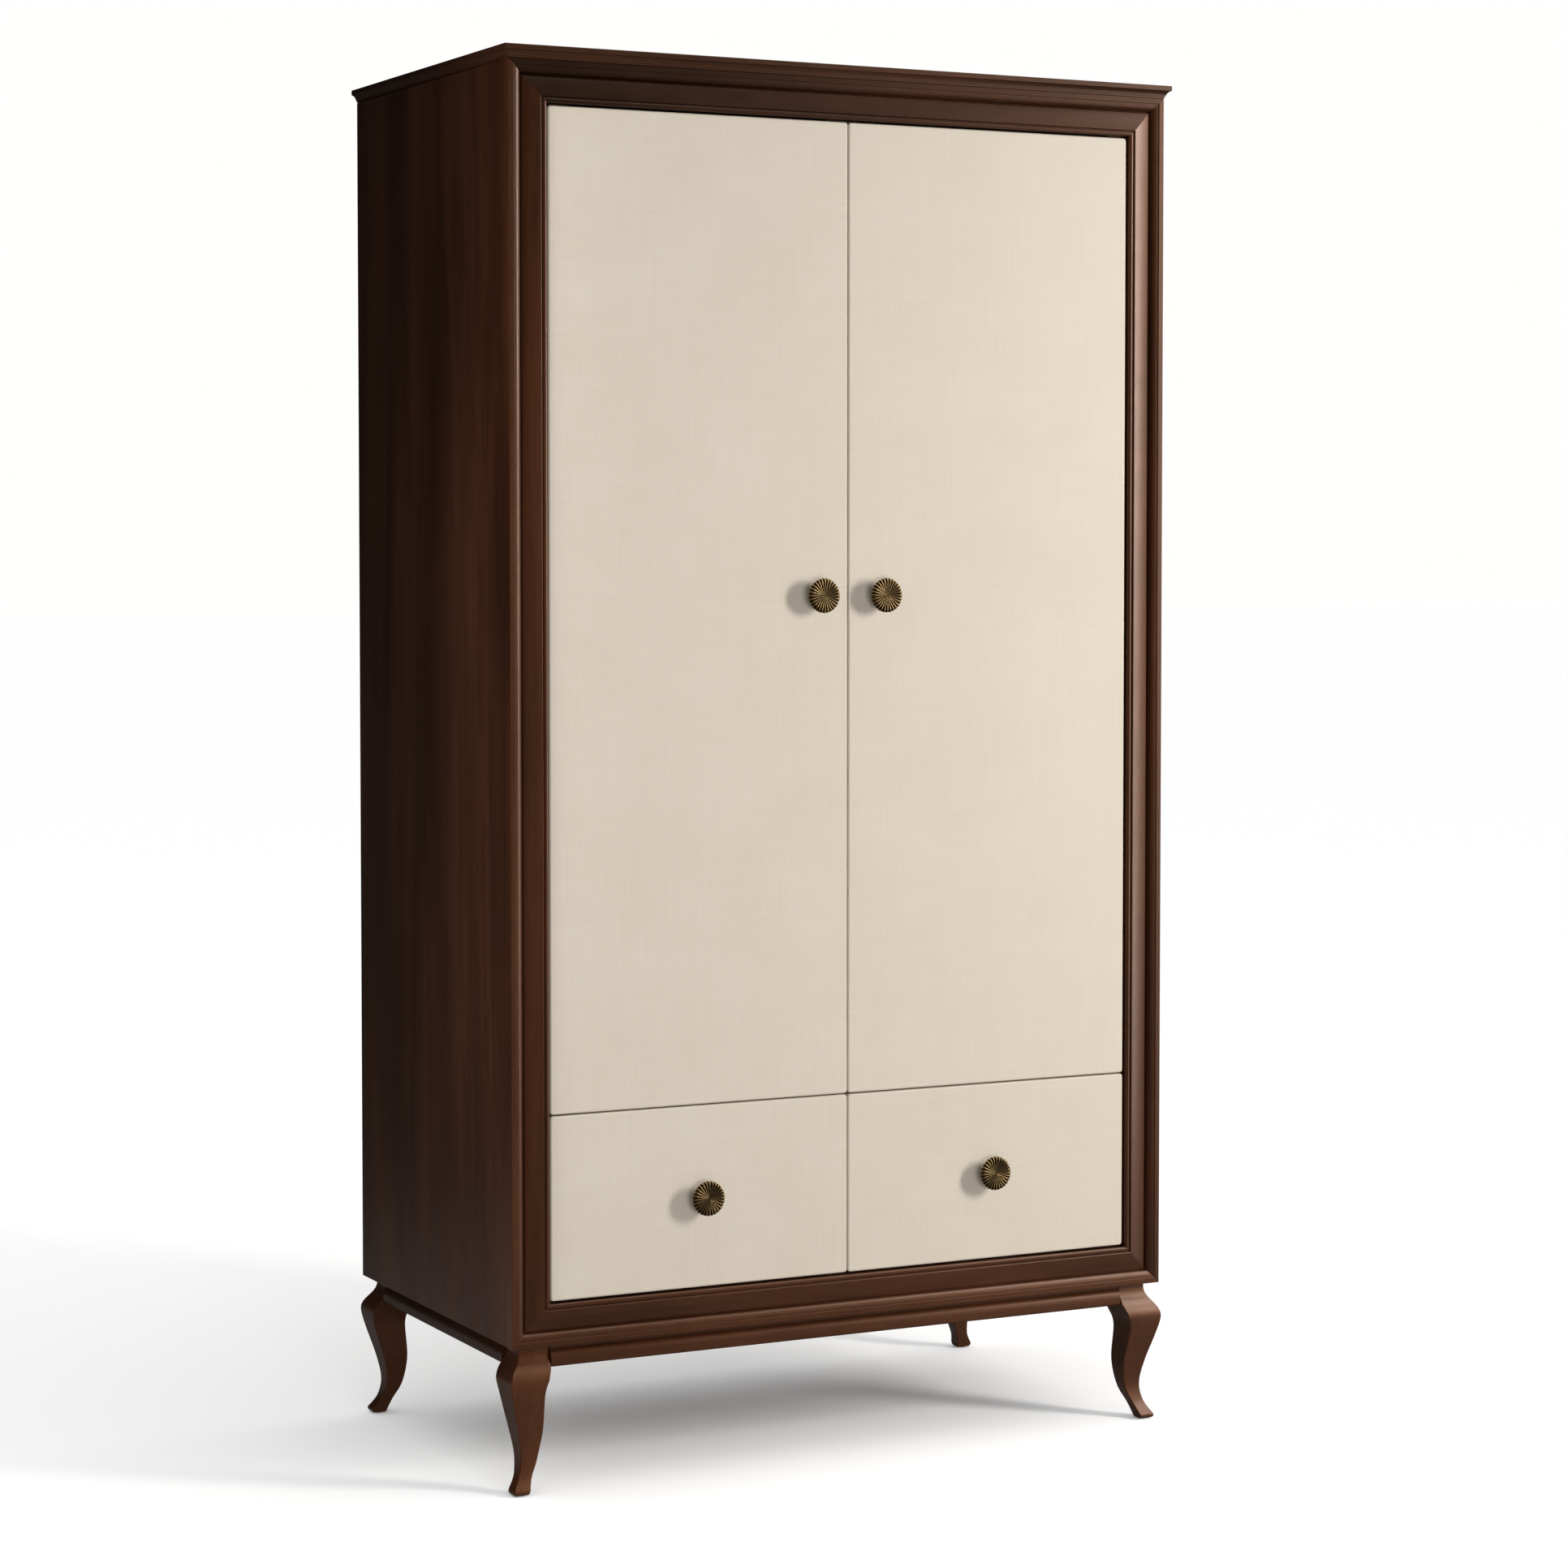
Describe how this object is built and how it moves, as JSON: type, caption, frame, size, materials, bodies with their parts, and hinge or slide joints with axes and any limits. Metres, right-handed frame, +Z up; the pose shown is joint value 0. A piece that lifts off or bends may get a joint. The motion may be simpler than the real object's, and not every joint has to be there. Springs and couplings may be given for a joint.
{
  "type": "armoire",
  "caption": "Tall armoire with hinged doors over side-by-side drawers, a moulded face frame and low cornice, on square cabriole legs.",
  "frame": {"origin": "on the floor, under the middle of the armoire's overall width and depth, knobs included", "axes": "+Z up, the doors and drawers face -Y, +X to the right when seen from the front"},
  "size_m": [1.124, 0.6439, 2.1],
  "materials": {
    "dark_wood": "satin lacquered dark walnut stain",
    "inner_wood": "matt sealed",
    "drawer_wood": "matt sealed",
    "linen_paint": "cream paint over a fine linen texture, eggshell",
    "antique_brass": "antiqued, brushed",
    "hinge_brass": "satin",
    "steel": "brushed zinc plate",
    "catch_plastic": "moulded brown"
  },
  "bodies": {
    "carcass": {"side_panel_left": "dark_wood", "side_panel_right": "dark_wood", "frame_stile_left": "dark_wood", "frame_stile_right": "dark_wood", "frame_rail_top": "dark_wood", "frame_rail_bottom": "dark_wood", "cornice_front": "dark_wood", "cornice_left": "dark_wood", "cornice_right": "dark_wood", "apron_front": "dark_wood", "apron_left": "dark_wood", "apron_right": "dark_wood", "apron_back": "dark_wood", "leg_front_left": "dark_wood", "leg_front_right": "dark_wood", "leg_back_left": "dark_wood", "leg_back_right": "dark_wood", "top_board": "inner_wood", "bottom_board": "inner_wood", "base_board": "inner_wood", "drawer_deck": "inner_wood", "drawer_partition": "inner_wood", "hat_shelf": "inner_wood", "shelf_cleat_left": "inner_wood", "shelf_cleat_right": "inner_wood", "drawer_guide_left": "inner_wood", "drawer_guide_right": "inner_wood", "back_muntin": "inner_wood", "back_panel_left": "inner_wood", "back_panel_right": "inner_wood", "hinge_plate_top_left": "hinge_brass", "hinge_plate_top_right": "hinge_brass", "hinge_bracket_bottom_left": "hinge_brass", "hinge_bracket_bottom_right": "hinge_brass", "hanging_rail": "hinge_brass", "rail_socket_left": "hinge_brass", "rail_socket_right": "hinge_brass", "magnetic_catch": "catch_plastic"},
    "door_left": {"door_left": "linen_paint", "hinge_leaf_top_left": "hinge_brass", "hinge_leaf_bottom_left": "hinge_brass", "strike_plate_left": "steel", "door_knob_left": "antique_brass"},
    "door_right": {"door_right": "linen_paint", "hinge_leaf_top_right": "hinge_brass", "hinge_leaf_bottom_right": "hinge_brass", "strike_plate_right": "steel", "door_knob_right": "antique_brass"},
    "drawer_left": {"drawer_front_left": "linen_paint", "drawer_outer_side_left": "drawer_wood", "drawer_inner_side_left": "drawer_wood", "drawer_back_left": "drawer_wood", "drawer_bottom_left": "drawer_wood", "drawer_knob_left": "antique_brass"},
    "drawer_right": {"drawer_front_right": "linen_paint", "drawer_outer_side_right": "drawer_wood", "drawer_inner_side_right": "drawer_wood", "drawer_back_right": "drawer_wood", "drawer_bottom_right": "drawer_wood", "drawer_knob_right": "antique_brass"}
  },
  "joints": [
    {"name": "door_left_hinge", "type": "hinge", "parent": "carcass", "child": "door_left", "pos_m": [-0.468, -0.2825, 1.286], "axis": [0, 0, -1], "range_deg": [0, 105]},
    {"name": "door_right_hinge", "type": "hinge", "parent": "carcass", "child": "door_right", "pos_m": [0.468, -0.2825, 1.286], "axis": [0, 0, 1], "range_deg": [0, 105]},
    {"name": "drawer_left_slide", "type": "slide", "parent": "carcass", "child": "drawer_left", "axis": [0, -1, 0], "range_m": [0, 0.4]},
    {"name": "drawer_right_slide", "type": "slide", "parent": "carcass", "child": "drawer_right", "axis": [0, -1, 0], "range_m": [0, 0.4]}
  ]
}
